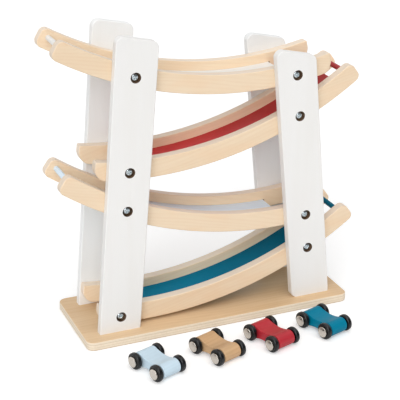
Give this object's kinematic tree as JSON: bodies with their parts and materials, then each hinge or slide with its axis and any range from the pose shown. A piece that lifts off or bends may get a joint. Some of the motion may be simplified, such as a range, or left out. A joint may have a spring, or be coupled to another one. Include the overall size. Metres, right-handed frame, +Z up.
{
  "type": "click clack track toy",
  "caption": "Zigzag ramp toy: curved tracks hang between leaning posts on a plate, with a drop gap at each low end, and small wheeled cars that roll down them stand in front.",
  "frame": {"origin": "centre of the base plate's underside, which rests on the ground", "axes": "+X to the right along the base plate, +Y to the back, +Z up; the cars stand in front, at -Y"},
  "size_m": [0.3538, 0.213, 0.3444],
  "materials": {
    "plywood": "birch plywood, thin satin varnish, layers bare on the edges",
    "white_lacquer": "white lacquered wood, satin",
    "light_wood": "light maple-like wood, satin",
    "white_paint": "white painted wood, satin",
    "red_paint": "red painted wood, satin",
    "lilac_paint": "pale lavender blue painted wood, satin",
    "teal_paint": "teal painted wood, satin",
    "pale_blue_paint": "pale blue painted wood, satin",
    "natural_wood": "natural beech-like wood, satin",
    "red_car_paint": "red painted wood, satin",
    "teal_car_paint": "teal painted wood, satin",
    "black_plastic": "black plastic, soft sheen",
    "zinc_steel": "zinc plated steel",
    "cap_chrome": "bright plated spring steel"
  },
  "bodies": {
    "frame": {"base_plate": "plywood", "front_left_post": "white_lacquer", "front_right_post": "white_lacquer", "rear_left_post": "white_lacquer", "rear_right_post": "white_lacquer", "track_1_front_rail": "light_wood", "track_1_rear_rail": "light_wood", "track_1_floor": "white_paint", "track_1_bar": "white_paint", "track_2_front_rail": "light_wood", "track_2_rear_rail": "light_wood", "track_2_floor": "red_paint", "track_2_bar": "red_paint", "track_3_front_rail": "light_wood", "track_3_rear_rail": "light_wood", "track_3_floor": "lilac_paint", "track_3_bar": "lilac_paint", "track_4_front_rail": "light_wood", "track_4_rear_rail": "light_wood", "track_4_floor": "teal_paint", "track_4_bar": "teal_paint", "post_screws": "zinc_steel", "base_screws": "zinc_steel"},
    "blue_car": {"blue_car_body": "pale_blue_paint"},
    "blue_front_wheels": {"blue_car_front_axle": "zinc_steel", "blue_car_front_caps": "cap_chrome", "blue_car_front_left_wheel": "black_plastic", "blue_car_front_right_wheel": "black_plastic"},
    "blue_rear_wheels": {"blue_car_rear_axle": "zinc_steel", "blue_car_rear_caps": "cap_chrome", "blue_car_rear_left_wheel": "black_plastic", "blue_car_rear_right_wheel": "black_plastic"},
    "natural_car": {"natural_car_body": "natural_wood"},
    "natural_front_wheels": {"natural_car_front_axle": "zinc_steel", "natural_car_front_caps": "cap_chrome", "natural_car_front_left_wheel": "black_plastic", "natural_car_front_right_wheel": "black_plastic"},
    "natural_rear_wheels": {"natural_car_rear_axle": "zinc_steel", "natural_car_rear_caps": "cap_chrome", "natural_car_rear_left_wheel": "black_plastic", "natural_car_rear_right_wheel": "black_plastic"},
    "red_car": {"red_car_body": "red_car_paint"},
    "red_front_wheels": {"red_car_front_axle": "zinc_steel", "red_car_front_caps": "cap_chrome", "red_car_front_left_wheel": "black_plastic", "red_car_front_right_wheel": "black_plastic"},
    "red_rear_wheels": {"red_car_rear_axle": "zinc_steel", "red_car_rear_caps": "cap_chrome", "red_car_rear_left_wheel": "black_plastic", "red_car_rear_right_wheel": "black_plastic"},
    "teal_car": {"teal_car_body": "teal_car_paint"},
    "teal_front_wheels": {"teal_car_front_axle": "zinc_steel", "teal_car_front_caps": "cap_chrome", "teal_car_front_left_wheel": "black_plastic", "teal_car_front_right_wheel": "black_plastic"},
    "teal_rear_wheels": {"teal_car_rear_axle": "zinc_steel", "teal_car_rear_caps": "cap_chrome", "teal_car_rear_left_wheel": "black_plastic", "teal_car_rear_right_wheel": "black_plastic"}
  },
  "joints": [
    {"name": "blue_car_roll", "type": "slide", "parent": "frame", "child": "blue_car", "axis": [0.3322, -0.9432, 0], "range_m": [-0.033, 0.12]},
    {"name": "blue_front_axle_spin", "type": "hinge", "parent": "blue_car", "child": "blue_front_wheels", "pos_m": [-0.09847, -0.1395, 0.0094], "axis": [0.9432, 0.3322, 0], "continuous": true},
    {"name": "blue_rear_axle_spin", "type": "hinge", "parent": "blue_car", "child": "blue_rear_wheels", "pos_m": [-0.11017, -0.1063, 0.0094], "axis": [0.9432, 0.3322, 0], "continuous": true},
    {"name": "natural_car_roll", "type": "slide", "parent": "frame", "child": "natural_car", "axis": [0.3355, -0.9421, 0], "range_m": [-0.0265, 0.12]},
    {"name": "natural_front_axle_spin", "type": "hinge", "parent": "natural_car", "child": "natural_front_wheels", "pos_m": [-0.02635, -0.13357, 0.0094], "axis": [0.9421, 0.3355, 0], "continuous": true},
    {"name": "natural_rear_axle_spin", "type": "hinge", "parent": "natural_car", "child": "natural_rear_wheels", "pos_m": [-0.03816, -0.1004, 0.0094], "axis": [0.9421, 0.3355, 0], "continuous": true},
    {"name": "red_car_roll", "type": "slide", "parent": "frame", "child": "red_car", "axis": [0.3107, -0.9505, 0], "range_m": [-0.0225, 0.12]},
    {"name": "red_front_axle_spin", "type": "hinge", "parent": "red_car", "child": "red_front_wheels", "pos_m": [0.04006, -0.12991, 0.0094], "axis": [0.9505, 0.3107, 0], "continuous": true},
    {"name": "red_rear_axle_spin", "type": "hinge", "parent": "red_car", "child": "red_rear_wheels", "pos_m": [0.02912, -0.09646, 0.0094], "axis": [0.9505, 0.3107, 0], "continuous": true},
    {"name": "teal_car_roll", "type": "slide", "parent": "frame", "child": "teal_car", "axis": [0.3057, -0.9521, 0], "range_m": [-0.0185, 0.12]},
    {"name": "teal_front_axle_spin", "type": "hinge", "parent": "teal_car", "child": "teal_front_wheels", "pos_m": [0.10698, -0.12612, 0.0094], "axis": [0.9521, 0.3057, 0], "continuous": true},
    {"name": "teal_rear_axle_spin", "type": "hinge", "parent": "teal_car", "child": "teal_rear_wheels", "pos_m": [0.09622, -0.0926, 0.0094], "axis": [0.9521, 0.3057, 0], "continuous": true}
  ],
  "couplings": [
    {"joint": "blue_front_axle_spin", "follows": "blue_car_roll", "rad_per_m": 106.38},
    {"joint": "blue_rear_axle_spin", "follows": "blue_car_roll", "rad_per_m": 106.38},
    {"joint": "natural_front_axle_spin", "follows": "natural_car_roll", "rad_per_m": 106.38},
    {"joint": "natural_rear_axle_spin", "follows": "natural_car_roll", "rad_per_m": 106.38},
    {"joint": "red_front_axle_spin", "follows": "red_car_roll", "rad_per_m": 106.38},
    {"joint": "red_rear_axle_spin", "follows": "red_car_roll", "rad_per_m": 106.38},
    {"joint": "teal_front_axle_spin", "follows": "teal_car_roll", "rad_per_m": 106.38},
    {"joint": "teal_rear_axle_spin", "follows": "teal_car_roll", "rad_per_m": 106.38}
  ]
}
